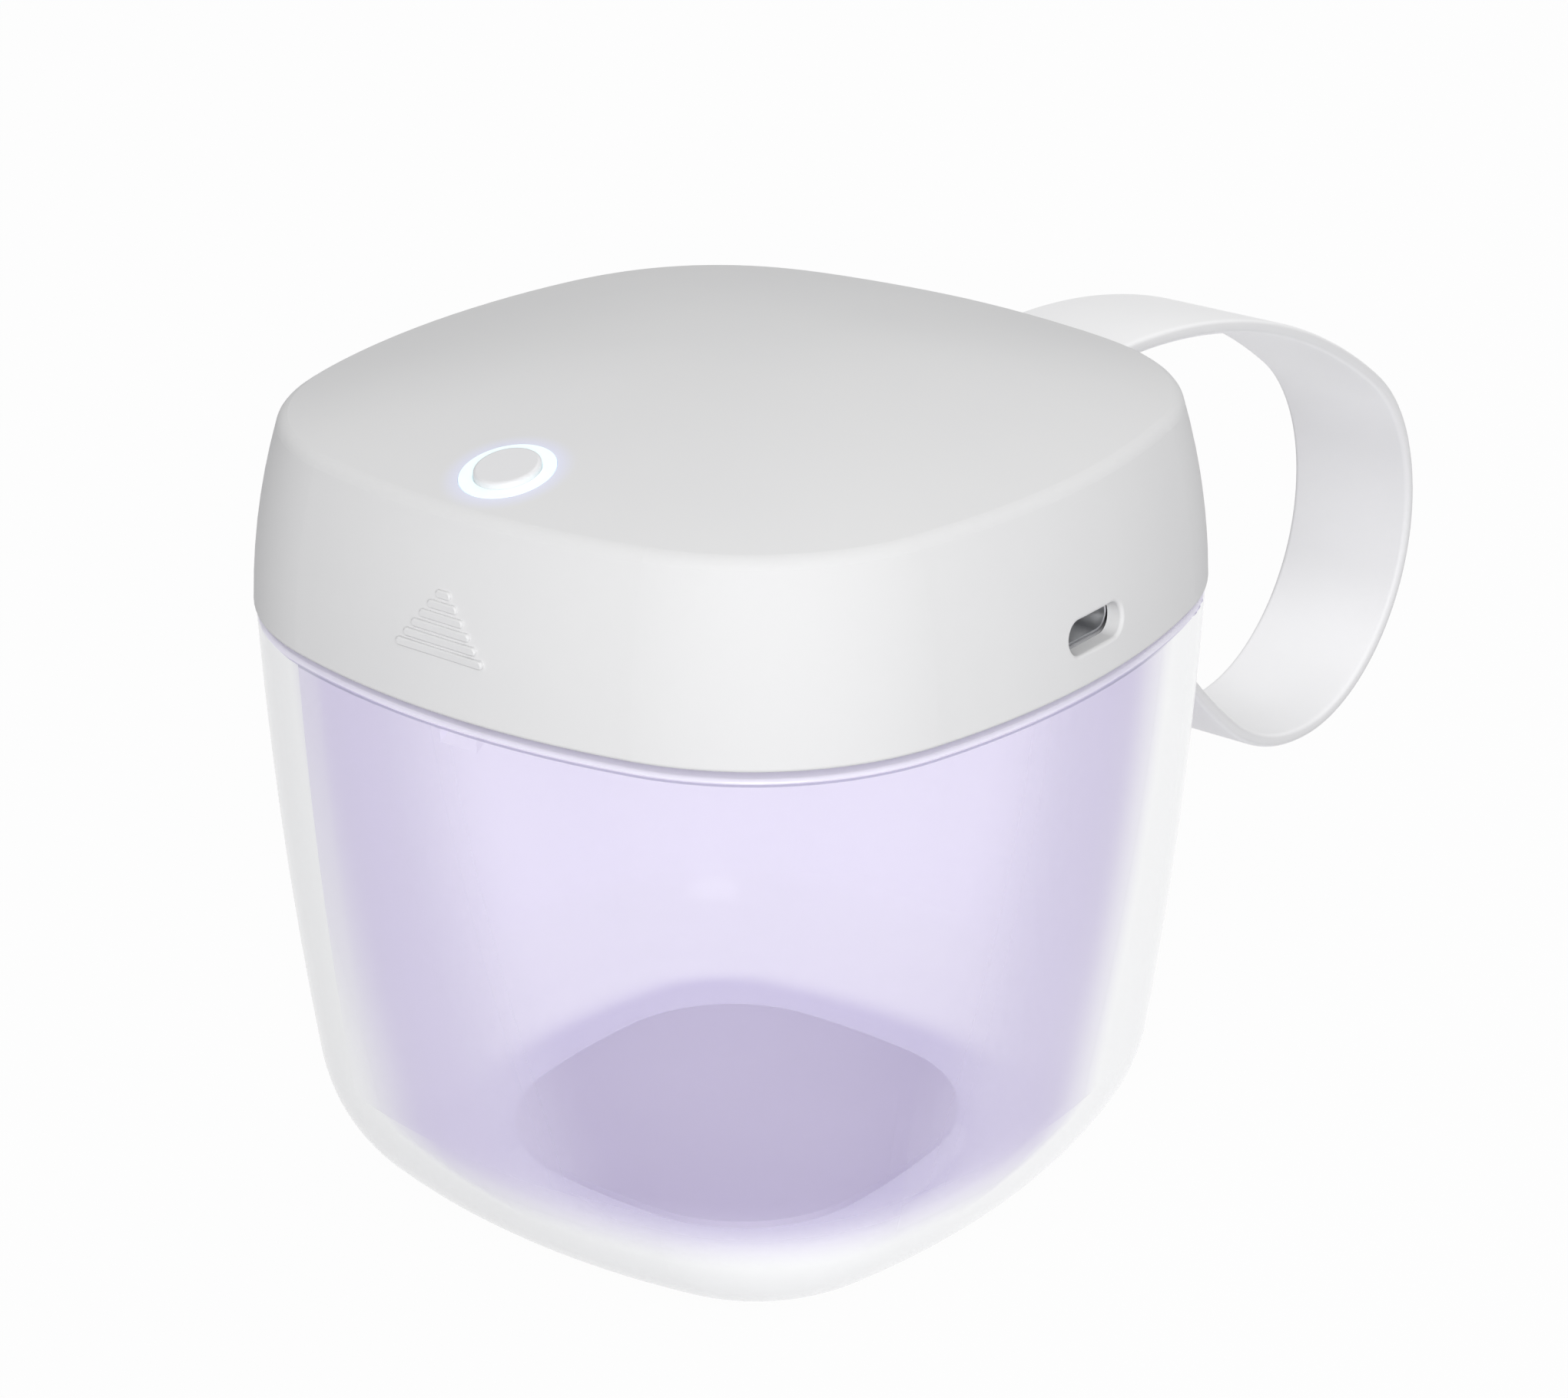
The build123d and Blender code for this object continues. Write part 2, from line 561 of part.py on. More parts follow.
def make_strap():
    """Flat soft band: keyed into the lid's rear wall, looped out to the rear, back to the pin."""
    inner_y = LID_RIM.inset(lid_inset(STRAP_Z) + LID_WALL).rear_y(STRAP_KEY_WIDTH / 2)
    start = Vector(inner_y - STRAP_KEY_GAP - STRAP_KEY_LENGTH / 2, STRAP_Z)
    bend = Vector(CASE_HALF_DEPTH + STRAP_STRAIGHT, STRAP_Z)
    runs = [Line(start, bend)]
    turns = [
        (STRAP_TOP_RADIUS, STRAP_TOP_TURN),
        (STRAP_SHOULDER_RADIUS, STRAP_SHOULDER_TURN),
        (STRAP_BOTTOM_RADIUS, STRAP_BOTTOM_TURN),
        (STRAP_RETURN_RADIUS, STRAP_RETURN_TURN),
        (STRAP_RISE_RADIUS, STRAP_RISE_TURN),
    ]
    for radius, turn in turns:
        runs.append(JernArc(runs[-1] @ 1, runs[-1] % 1, radius, -turn))
    runs.append(Line(runs[-1] @ 1, (HINGE_Y, HINGE_Z)))
    band = Face(Wire(runs).offset_2d(STRAP_THICKNESS / 2, side=Side.BOTH))
    eye = Pos(HINGE_Y, HINGE_Z) * Circle(STRAP_EYE_RADIUS)
    half = STRAP_WIDTH / 2
    strap = across(band + eye, -half, half)
    strap += plate(
        0,
        start.X,
        STRAP_KEY_WIDTH,
        STRAP_KEY_LENGTH,
        STRAP_Z - STRAP_KEY_HEIGHT / 2,
        STRAP_Z + STRAP_KEY_HEIGHT / 2,
        STRAP_KEY_ROUND,
    )
    return strap - pin_hole(-half, half)


# ---------------------------------------------------------------- lid pieces
def thumb_ribs():
    """Raised bars with round ends that shorten upwards, under the button."""
    ribs = []
    for step in range(RIB_COUNT):
        z = LID_Z + RIB_RISE + RIB_PITCH * step
        length = RIB_LONGEST + (RIB_SHORTEST - RIB_LONGEST) * step / (RIB_COUNT - 1)
        front_y = lid_inset(z) - CASE_HALF_DEPTH - RIB_PROUD
        place = Plane(origin=(0, front_y, z), x_dir=(1, 0, 0), z_dir=(0, 1, 0))
        bar = extrude(place * SlotOverall(length, 2 * RIB_RADIUS), RIB_PROUD + LID_WALL / 2)
        ribs.append(chamfer(bar.faces().sort_by(Axis.Y)[0].edges(), RIB_CHAMFER))
    return ribs


def port_cut():
    """Round-ended hole through the lid's side for the plug."""
    profile = SlotOverall(SOCKET_WIDTH + 2 * PORT_GAP, SOCKET_HEIGHT + 2 * PORT_GAP)
    place = Plane(origin=(SOCKET_MOUTH_X - LID_WALL, SOCKET_Y, SOCKET_Z), x_dir=(0, 1, 0), z_dir=(1, 0, 0))
    return extrude(place * profile, SOCKET_RECESS + 2 * LID_WALL)


def strap_slot():
    depth = 4 * LID_WALL
    width = STRAP_WIDTH + 2 * MOVING_GAP
    height = STRAP_THICKNESS + 2 * MOVING_GAP
    return plate(0, CASE_HALF_DEPTH, width, depth, STRAP_Z - height / 2, STRAP_Z + height / 2)


def lid_posts():
    """Long posts for the four cover screws, short ones for the button board, a boss for the ring."""
    posts = [disc(x, y, POST_RADIUS, LID_POST_Z, SKY_Z) for x, y in LID_SCREWS]
    posts += [disc(x, y, BUTTON_POST_RADIUS, BUTTON_BOARD_TOP_Z, SKY_Z) for x, y in BUTTON_POSTS]
    posts.append(disc(0, BUTTON_Y, RING_BOSS, RING_SEAT_Z, SKY_Z))
    return posts


def with_port(outside):
    """The lid's outer form with the plug hole, its outer edge rounded."""
    opened = outside - port_cut()
    port = [
        edge
        for edge in opened.edges()
        if edge.center().X > CASE_HALF_WIDTH - LID_WALL / 2
        and abs(edge.center().Z - SOCKET_Z) < SOCKET_HEIGHT
        and abs(edge.center().Y - SOCKET_Y) < SOCKET_WIDTH
        and edge.length < 2 * SOCKET_WIDTH
    ]
    return fillet(port, PORT_ROUND)


def make_lid_shell():
    outside = lid_outside()
    shell = with_port(outside)
    root_y = LID_RIM.rear_y(LID_KNUCKLE_FAR) - LID_WALL / 2
    for near, far in KNUCKLES_ON_LID:
        shell += knuckle(near, far, root_y, LID_Z, LID_Z + LID_LEAF_HEIGHT)
    shell -= lid_inside()
    ceiling = Pos(0, 0, -LID_TOP_WALL / 2) * outside
    for post in lid_posts():
        shell += post & ceiling
    hole = SCREW_RADIUS + SEAT_GAP
    for x, y in LID_SCREWS:
        shell -= disc(x, y, hole, LID_POST_Z - LID_WALL, LID_POST_Z + LID_SCREW_LENGTH)
    for x, y in BUTTON_POSTS:
        shell -= disc(x, y, hole, BUTTON_BOARD_TOP_Z - LID_WALL, BUTTON_BOARD_TOP_Z + BUTTON_SCREW_LENGTH)
    flange_top = RING_SEAT_Z + RING_FLANGE_HEIGHT + SEAT_GAP
    shell -= disc(0, BUTTON_Y, RING_FLANGE + SEAT_GAP, RING_SEAT_Z - LID_WALL, flange_top)
    shell -= disc(0, BUTTON_Y, RING_OUTER + SEAT_GAP, RING_SEAT_Z, SKY_Z)
    for rib in thumb_ribs():
        shell += rib
    return shell - strap_slot() - pin_hole(-LID_KNUCKLE_FAR - SEAT_GAP, LID_KNUCKLE_FAR + SEAT_GAP)


def make_light_ring():
    """Clear ring round the button, flush with the domed top, held by a flange from below."""
    tube = under_button(RING_OUTER, RING_SEAT_Z, 0)
    flange = disc(0, BUTTON_Y, RING_FLANGE, RING_SEAT_Z, RING_SEAT_Z + RING_FLANGE_HEIGHT)
    return tube + flange - disc(0, BUTTON_Y, RING_INNER, RING_SEAT_Z - LID_WALL, SKY_Z)


def make_button_cap():
    """Cap with the dome's slope, its flange under the ring, its stem on the switch."""
    cap = under_button(BUTTON_RADIUS, BUTTON_FLANGE_Z, BUTTON_PROUD)
    cap = fillet(cap.faces().sort_by(Axis.Z)[-1].edges(), BUTTON_EDGE_ROUND)
    cap += disc(0, BUTTON_Y, BUTTON_FLANGE_RADIUS, BUTTON_FLANGE_Z, BUTTON_FLANGE_TOP_Z)
    return cap + disc(0, BUTTON_Y, BUTTON_STEM_RADIUS, PLUNGER_TOP_Z, BUTTON_FLANGE_Z)


def make_switch_body():
    body = plate(0, BUTTON_Y, SWITCH_SIZE, SWITCH_SIZE, BUTTON_BOARD_TOP_Z, SWITCH_TOP_Z, SWITCH_CORNER)
    bore_low = SWITCH_TOP_Z - PLUNGER_SUNK - BUTTON_TRAVEL - PLUNGER_SPARE
    return body - disc(0, BUTTON_Y, PLUNGER_RADIUS + SLIDE_GAP, bore_low, SKY_Z)


def make_switch_plunger():
    return disc(0, BUTTON_Y, PLUNGER_RADIUS, SWITCH_TOP_Z - PLUNGER_SUNK, PLUNGER_TOP_Z)


def make_button_board():
    width = BUTTON_BOARD_WIDTH
    length = BUTTON_BOARD_LENGTH
    board = plate(0, BUTTON_BOARD_Y, width, length, BUTTON_BOARD_Z, BUTTON_BOARD_TOP_Z, BUTTON_BOARD_CORNER)
    for x, y in BUTTON_POSTS:
        board -= disc(x, y, SCREW_RADIUS + SEAT_GAP, BUTTON_BOARD_Z, BUTTON_BOARD_TOP_Z)
    return board


def make_status_lamps():
    """Small lamps on the button board that light the ring from below."""
    low = BUTTON_BOARD_TOP_Z
    size = STATUS_LAMP_SIZE
    places = [(x, BUTTON_Y + y) for x, y in corners(STATUS_LAMP_SHIFT, STATUS_LAMP_SHIFT)]
    return [plate(x, y, size, size, low, low + STATUS_LAMP_HEIGHT) for x, y in places]


def screw(x, y, seat, length, way):
    """Screw with a chamfered head. Its shank points up from the seat (way 1) or down (way -1)."""
    head_end = seat - way * SCREW_HEAD_HEIGHT
    tip = seat + way * length
    body = disc(x, y, SCREW_HEAD_RADIUS, min(seat, head_end), max(seat, head_end))
    rims = [edge for edge in body.edges() if abs(edge.center().Z - head_end) < SEAT_GAP]
    body = chamfer(rims, SCREW_HEAD_CHAMFER)
    return body + disc(x, y, SCREW_RADIUS, min(seat, tip), max(seat, tip))


def make_button_board_screws():
    return [screw(x, y, BUTTON_BOARD_Z, BUTTON_SCREW_LENGTH, 1) for x, y in BUTTON_POSTS]


# ---------------------------------------------------------------- cover under the lid
def cover_notch(shrink, low, high):
    """Room in the dish for the cup's magnet boss."""
    return magnet_boss(MOVING_GAP + shrink, low, high)


def make_inner_cover():
    """Tray that closes the lid: a dish that drops inside the cup's lip, with a flange over it."""
    dish = slab(DISH.at(COVER_Z), FLANGE_TOP_Z - COVER_Z) - cover_notch(0, COVER_Z, FLANGE_Z)
    edges = [edge for edge in dish.edges() if abs(edge.center().Z - COVER_Z) < SEAT_GAP]
    dish = chamfer(edges, COVER_CHAMFER)
    cover = dish + slab(FLANGE.at(FLANGE_Z), COVER_FLANGE)
    hollow = slab(DISH.inset(COVER_WALL).at(COVER_FLOOR_Z), SKY_Z - COVER_FLOOR_Z)
    cover -= hollow - cover_notch(COVER_WALL, COVER_FLOOR_Z, SKY_Z)
    groove = slab(SEAL.at(FLANGE_Z), SEAL_DEPTH) - slab(SEAL.inset(SEAL_WIDTH).at(FLANGE_Z), SEAL_DEPTH)
    cover -= groove
    cover -= plate(0, 0, WINDOW_WIDTH, WINDOW_LENGTH, COVER_Z, WINDOW_Z, WINDOW_CORNER)
    for x, y in BOARD_SCREWS:
        cover += disc(x, y, STANDOFF_RADIUS, COVER_FLOOR_Z, BOARD_Z)
        cover -= disc(x, y, SCREW_RADIUS, BOARD_TOP_Z - BOARD_SCREW_LENGTH - SEAT_GAP, BOARD_Z)
    for x, y in LID_SCREWS:
        cover += disc(x, y, PAD_RADIUS, COVER_FLOOR_Z, SCREW_SEAT_Z + LID_SCREW_PAD)
        cover -= disc(x, y, SCREW_HEAD_RADIUS + MOVING_GAP, COVER_Z, SCREW_SEAT_Z)
        cover -= disc(x, y, SCREW_RADIUS + SEAT_GAP, COVER_Z, SKY_Z)
    cover += disc(0, MAGNET_Y, MAGNET_BOSS_RADIUS, FLANGE_TOP_Z, FLANGE_TOP_Z + MAGNET_HEIGHT)
    return cover - disc(0, MAGNET_Y, MAGNET_RADIUS + SEAT_GAP, FLANGE_TOP_Z, SKY_Z)


def make_seal_ring():
    """Soft ring in the flange's groove, over the lip."""
    low = FLANGE_Z + SEAL_DEPTH - SEAL_HEIGHT
    ring = slab(SEAL.inset(SEAT_GAP).at(low), SEAL_HEIGHT - SEAT_GAP)
    return ring - slab(SEAL.inset(SEAL_WIDTH - SEAT_GAP).at(low), SEAL_HEIGHT)


def make_lamp_window():
    width = WINDOW_WIDTH + 2 * WINDOW_LAP
    length = WINDOW_LENGTH + 2 * WINDOW_LAP
    return plate(0, 0, width, length, WINDOW_Z, WINDOW_Z + WINDOW_THICKNESS, WINDOW_CORNER + WINDOW_LAP)


def make_ultraviolet_lamps():
    low = BOARD_Z - LAMP_HEIGHT
    middle = (LAMP_COUNT - 1) / 2
    lamps = []
    for y in [LAMP_PITCH * (step - middle) for step in range(LAMP_COUNT)]:
        base = plate(0, y, LAMP_SIZE, LAMP_SIZE, low + LAMP_LENS_RISE, BOARD_Z)
        lamps.append(base + disc(0, y, LAMP_LENS_RADIUS, low, BOARD_Z))
    return lamps


def make_main_board():
    board = plate(0, 0, BOARD_WIDTH, BOARD_LENGTH, BOARD_Z, BOARD_TOP_Z, BOARD_CORNER)
    tab_end = SOCKET_MOUTH_X - BOARD_TAB_INSET
    board += plate(tab_end / 2, SOCKET_Y, tab_end, BOARD_TAB_WIDTH, BOARD_Z, BOARD_TOP_Z)
    for x, y in BOARD_SCREWS:
        board -= disc(x, y, SCREW_RADIUS + SEAT_GAP, BOARD_Z, BOARD_TOP_Z)
    return board


def make_board_screws():
    return [screw(x, y, BOARD_TOP_Z, BOARD_SCREW_LENGTH, -1) for x, y in BOARD_SCREWS]


def make_lid_screws():
    return [screw(x, y, SCREW_SEAT_Z, LID_SCREW_LENGTH, 1) for x, y in LID_SCREWS]


def chip(x, y, width, length, height, corner=0.0):
    return plate(x, y, width, length, BOARD_TOP_Z, BOARD_TOP_Z + height, corner)


def make_board_chips():
    """Controller, lamp driver, charger and the driver's coil, clear of the battery."""
    row = (BATTERY_Y - BATTERY_LENGTH / 2 - BOARD_LENGTH / 2) / 2
    beside = (BATTERY_X + BATTERY_WIDTH / 2 + BOARD_WIDTH / 2) / 2
    controller = chip(CONTROLLER_X, row, CONTROLLER_SIZE, CONTROLLER_SIZE, CHIP_HEIGHT)
    driver = chip(DRIVER_X, row, DRIVER_WIDTH, DRIVER_LENGTH, CHIP_HEIGHT)
    charger = chip(beside, SOCKET_Y, CHARGER_SIZE, CHARGER_SIZE, CHIP_HEIGHT)
    coil = chip(COIL_X, row, COIL_SIZE, COIL_SIZE, COIL_HEIGHT, COIL_CORNER)
    return [controller, driver, charger, coil]


def make_lid_sensor():
    """Magnet sensor under the board, which tells that the lid is shut."""
    y = SENSOR_LENGTH - BOARD_LENGTH / 2
    return plate(0, y, SENSOR_WIDTH, SENSOR_LENGTH, BOARD_Z - SENSOR_HEIGHT, BOARD_Z)


def make_battery_pad():
    width = BATTERY_WIDTH - 2 * BATTERY_ROUND
    length = BATTERY_LENGTH - 2 * BATTERY_ROUND
    return plate(BATTERY_X, BATTERY_Y, width, length, BOARD_TOP_Z, PAD_TOP_Z)


def make_battery():
    high = PAD_TOP_Z + BATTERY_HEIGHT
    battery = plate(BATTERY_X, BATTERY_Y, BATTERY_WIDTH, BATTERY_LENGTH, PAD_TOP_Z, high)
    return fillet(battery.edges().filter_by(Axis.Y), BATTERY_ROUND)


def make_lid_magnet():
    return disc(0, MAGNET_Y, MAGNET_RADIUS, FLANGE_TOP_Z, FLANGE_TOP_Z + MAGNET_HEIGHT)


def socket_tube(shrink, start, end):
    """Round-ended bar along the socket's axis, between two places in X."""
    profile = SlotOverall(SOCKET_WIDTH - 2 * shrink, SOCKET_HEIGHT - 2 * shrink)
    place = Plane(origin=(start, SOCKET_Y, SOCKET_Z), x_dir=(0, 1, 0), z_dir=(1, 0, 0))
    return extrude(place * profile, end - start)


def make_socket_shell():
    outside = socket_tube(0, SOCKET_REAR_X, SOCKET_MOUTH_X)
    return outside - socket_tube(SOCKET_WALL, SOCKET_REAR_X + SOCKET_WALL, SOCKET_MOUTH_X)


def make_socket_tongue():
    rear = SOCKET_REAR_X + SOCKET_WALL
    low = SOCKET_Z - TONGUE_HEIGHT / 2
    tongue = plate(rear + TONGUE_LENGTH / 2, SOCKET_Y, TONGUE_LENGTH, TONGUE_WIDTH, low, low + TONGUE_HEIGHT)
    return tongue + socket_tube(SOCKET_WALL + SEAT_GAP, rear, rear + TONGUE_BASE_LENGTH)


def make_flex_lead():
    """Flat flexible lead that joins the two boards inside the lid."""
    low = BOARD_TOP_Z + FLEX_THICKNESS / 2
    high = BUTTON_BOARD_Z - FLEX_THICKNESS / 2
    turn_y = BUTTON_BOARD_Y + BUTTON_BOARD_LENGTH / 2 + FLEX_BEND
    path = FilletPolyline(
        (turn_y - FLEX_LEG, low), (turn_y, low), (turn_y, high), (turn_y - FLEX_LEG, high), radius=FLEX_BEND
    )
    band = Face(path.wire().offset_2d(FLEX_THICKNESS / 2, side=Side.BOTH))
    return across(band, -FLEX_WIDTH / 2, FLEX_WIDTH / 2)


PIECES = {
    "cup_shell": make_cup_shell,
    "floor_plate": make_floor_plate,
    "cup_magnet": make_cup_magnet,
    "hinge_pin": make_hinge_pin,
    "strap": make_strap,
    "lid_shell": make_lid_shell,
    "light_ring": make_light_ring,
    "button_cap": make_button_cap,
    "switch_body": make_switch_body,
    "switch_plunger": make_switch_plunger,
    "button_board": make_button_board,
    "button_board_screws": make_button_board_screws,
    "status_lamps": make_status_lamps,
    "inner_cover": make_inner_cover,
    "seal_ring": make_seal_ring,
    "lamp_window": make_lamp_window,
    "ultraviolet_lamps": make_ultraviolet_lamps,
    "main_board": make_main_board,
    "board_chips": make_board_chips,
    "board_screws": make_board_screws,
    "lid_screws": make_lid_screws,
    "lid_sensor": make_lid_sensor,
    "lid_magnet": make_lid_magnet,
    "battery_pad": make_battery_pad,
    "battery": make_battery,
    "socket_shell": make_socket_shell,
    "socket_tongue": make_socket_tongue,
    "flex_lead": make_flex_lead,
}

os.makedirs("parts", exist_ok=True)
for name, make in PIECES.items():
    piece = make()
    if isinstance(piece, list):
        piece = Compound(piece)
    export_step(piece, f"parts/{name}.step")
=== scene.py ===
import math

import bpy
from mathutils import Matrix, Vector


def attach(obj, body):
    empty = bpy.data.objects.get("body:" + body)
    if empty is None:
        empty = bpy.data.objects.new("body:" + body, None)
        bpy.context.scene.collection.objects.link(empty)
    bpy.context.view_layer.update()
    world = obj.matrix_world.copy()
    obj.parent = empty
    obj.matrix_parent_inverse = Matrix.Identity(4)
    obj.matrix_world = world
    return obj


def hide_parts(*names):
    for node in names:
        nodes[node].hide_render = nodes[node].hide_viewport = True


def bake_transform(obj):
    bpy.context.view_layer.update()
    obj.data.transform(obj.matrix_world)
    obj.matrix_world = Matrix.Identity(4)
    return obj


# Looks of the pacifier sterilizer case, in metres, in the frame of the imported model.
# +Z is up, -Y is the front with the button, +Y the rear with the hinge and the strap.

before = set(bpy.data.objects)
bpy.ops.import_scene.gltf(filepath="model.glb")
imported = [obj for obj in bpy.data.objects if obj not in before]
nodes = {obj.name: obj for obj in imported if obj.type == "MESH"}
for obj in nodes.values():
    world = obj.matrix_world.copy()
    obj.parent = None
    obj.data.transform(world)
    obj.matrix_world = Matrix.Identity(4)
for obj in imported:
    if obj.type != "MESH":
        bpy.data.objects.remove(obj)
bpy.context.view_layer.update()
MM = 0.001

# ---------------------------------------------------------------- camera
VIEW_AZIMUTH = math.radians(37.866)  # round from the front towards the charging socket
VIEW_ELEVATION = math.radians(23.286)
VIEW_DISTANCE = 418.73 * MM
VIEW_TARGET = Vector((1.284, 6.712, 52.340)) * MM
LENS = 90.42


def add_camera():
    back = Vector(
        (
            math.sin(VIEW_AZIMUTH) * math.cos(VIEW_ELEVATION),
            -math.cos(VIEW_AZIMUTH) * math.cos(VIEW_ELEVATION),
            math.sin(VIEW_ELEVATION),
        )
    )
    data = bpy.data.cameras.new("camera")
    data.lens = LENS
    data.sensor_width = 36.0
    data.clip_start = 0.01
    camera = bpy.data.objects.new("camera", data)
    bpy.context.scene.collection.objects.link(camera)
    camera.location = VIEW_TARGET + back * VIEW_DISTANCE
    camera.rotation_euler = back.to_track_quat("Z", "Y").to_euler()
    bpy.context.scene.camera = camera


# ---------------------------------------------------------------- shader maths
class Value:
    """A number that varies over a surface. Arithmetic on it adds Math nodes."""

    def __init__(self, sheet, socket):
        self.sheet = sheet
        self.socket = socket

    def math(self, operation, *others):
        inputs = {0: self}
        for place, other in enumerate(others, start=1):
            inputs[place] = other
        return self.sheet.node("ShaderNodeMath", {"operation": operation}, inputs)

    def __add__(self, other):
        return self.math("ADD", other)

    __radd__ = __add__

    def __sub__(self, other):
        return self.math("SUBTRACT", other)

    def __rsub__(self, other):
        return self.sheet.node("ShaderNodeMath", {"operation": "SUBTRACT"}, {0: other, 1: self})

    def __mul__(self, other):
        return self.math("MULTIPLY", other)

    __rmul__ = __mul__

    def __truediv__(self, other):
        return self.math("DIVIDE", other)

    def __pow__(self, other):
        return self.math("POWER", other)

    def at_least(self, other):
        return self.math("MAXIMUM", other)

    def at_most(self, other):
        return self.math("MINIMUM", other)

    def fade(self, start, end):
        """0 at start, 1 at end, smooth between them."""
        inputs = {"Value": self, "From Min": start, "From Max": end}
        return self.sheet.node("ShaderNodeMapRange", {"interpolation_type": "SMOOTHSTEP"}, inputs)


class Sheet:
    """One material's node tree."""

    def __init__(self, name):
        self.material = bpy.data.materials.new(name)
        self.material.use_nodes = True
        self.tree = self.material.node_tree
        self.tree.nodes.clear()
        self.output = self.tree.nodes.new("ShaderNodeOutputMaterial")

    def node(self, kind, settings=None, inputs=None, result=0):
        made = self.tree.nodes.new(kind)
        for name, value in (settings or {}).items():
            if name == "stops":
                self.set_stops(made.color_ramp, value)
            else:
                setattr(made, name, value)
        for name, value in (inputs or {}).items():
            if isinstance(value, Value):
                self.tree.links.new(value.socket, made.inputs[name])
            else:
                made.inputs[name].default_value = value
        return Value(self, made.outputs[result])

    def set_stops(self, ramp, stops):
        while len(ramp.elements) < len(stops):
            ramp.elements.new(1.0)
        for element, (place, colour) in zip(ramp.elements, stops):
            element.position = place
            element.color = (*colour, 1)

    def place(self):
        """Position in the row frame, with a part for each axis."""
        position = self.node("ShaderNodeTexCoord", result=3)
        parts = self.tree.nodes.new("ShaderNodeSeparateXYZ")
        self.tree.links.new(position.socket, parts.inputs[0])
        return [Value(self, parts.outputs[axis]) for axis in range(3)]

    def heading(self):
        """The way the surface faces in the row frame, with a part for each axis."""
        normal = self.node("ShaderNodeTexCoord", result=1)
        parts = self.tree.nodes.new("ShaderNodeSeparateXYZ")
        self.tree.links.new(normal.socket, parts.inputs[0])
        return [Value(self, parts.outputs[axis]) for axis in range(3)]

    def noise(self, scale, detail=3.0, roughness=0.5):
        position = self.node("ShaderNodeTexCoord", result=3)
        inputs = {"Vector": position, "Scale": scale, "Detail": detail, "Roughness": roughness}
        return self.node("ShaderNodeTexNoise", {}, inputs)

    def mix(self, share, first, second):
        """Colour between two others."""
        inputs = {"Factor": share, 6: first, 7: second}
        return self.node("ShaderNodeMix", {"data_type": "RGBA"}, inputs, result=2)

    def bump(self, height, distance, strength=1.0):
        inputs = {"Height": height, "Distance": distance, "Strength": strength}
        return self.node("ShaderNodeBump", {}, inputs)

    def plastic(self, **inputs):
        named = {name.replace("_", " ").title().replace("Ior", "IOR"): value for name, value in inputs.items()}
        return self.node("ShaderNodeBsdfPrincipled", {}, named)

    def finish(self, surface):
        self.tree.links.new(surface.socket, self.output.inputs["Surface"])
        return self.material


def rgb(red, green, blue):
    """Linear colour from the 0 to 255 values that a screen shows."""

    def linear(part):
        part /= 255
        return part / 12.92 if part <= 0.04045 else ((part + 0.055) / 1.055) ** 2.4

    return (linear(red), linear(green), linear(blue), 1)


# ---------------------------------------------------------------- finishes
WHITE = rgb(234, 234, 235)
RING_CENTRE = (0.0, -34.5 * MM)


def moulded(name, colour, shade, roughness, grain=0.00002, scale=2500.0):
    """Moulded plastic: cloudy colour variation, fine grain in its gloss and its surface."""
    sheet = Sheet(name)
    cloud = sheet.noise(60.0)
    fine = sheet.noise(scale, 2.0)
    colour = sheet.mix(cloud, colour, shade)
    surface = sheet.plastic(
        base_color=colour,
        roughness=roughness + (fine - 0.5) * 0.12,
        normal=sheet.bump(fine, grain, 0.35),
    )
    return sheet.finish(surface)


def lid_white():
    """Satin white, with the ring's blue light painted as a glow on the plastic round it."""
    sheet = Sheet("lid_white")
    cloud = sheet.noise(45.0)
    fine = sheet.noise(2600.0, 2.0)
    x, y, z = sheet.place()
    away_y = y - RING_CENTRE[1]
    reach = (x * x + away_y * away_y) ** 0.5
    # painted glow: the ring's blue light spilt on the plastic round it, fading away from the ring
    spill = 1 - reach.fade(4.6 * MM, 6.9 * MM)
    above = z.fade(86 * MM, 87 * MM)
    painted_glow = sheet.mix(spill * above, (0, 0, 0, 1), (0.02, 0.03, 0.14, 1))
    surface = sheet.plastic(
        base_color=sheet.mix(cloud, rgb(227, 227, 227), rgb(223, 223, 224)),
        roughness=0.55 + (fine - 0.5) * 0.1,
        specular_ior_level=0.14,
        normal=sheet.bump(fine, 0.00001, 0.3),
        emission_color=painted_glow,
        emission_strength=1.0,
    )
    return sheet.finish(surface)


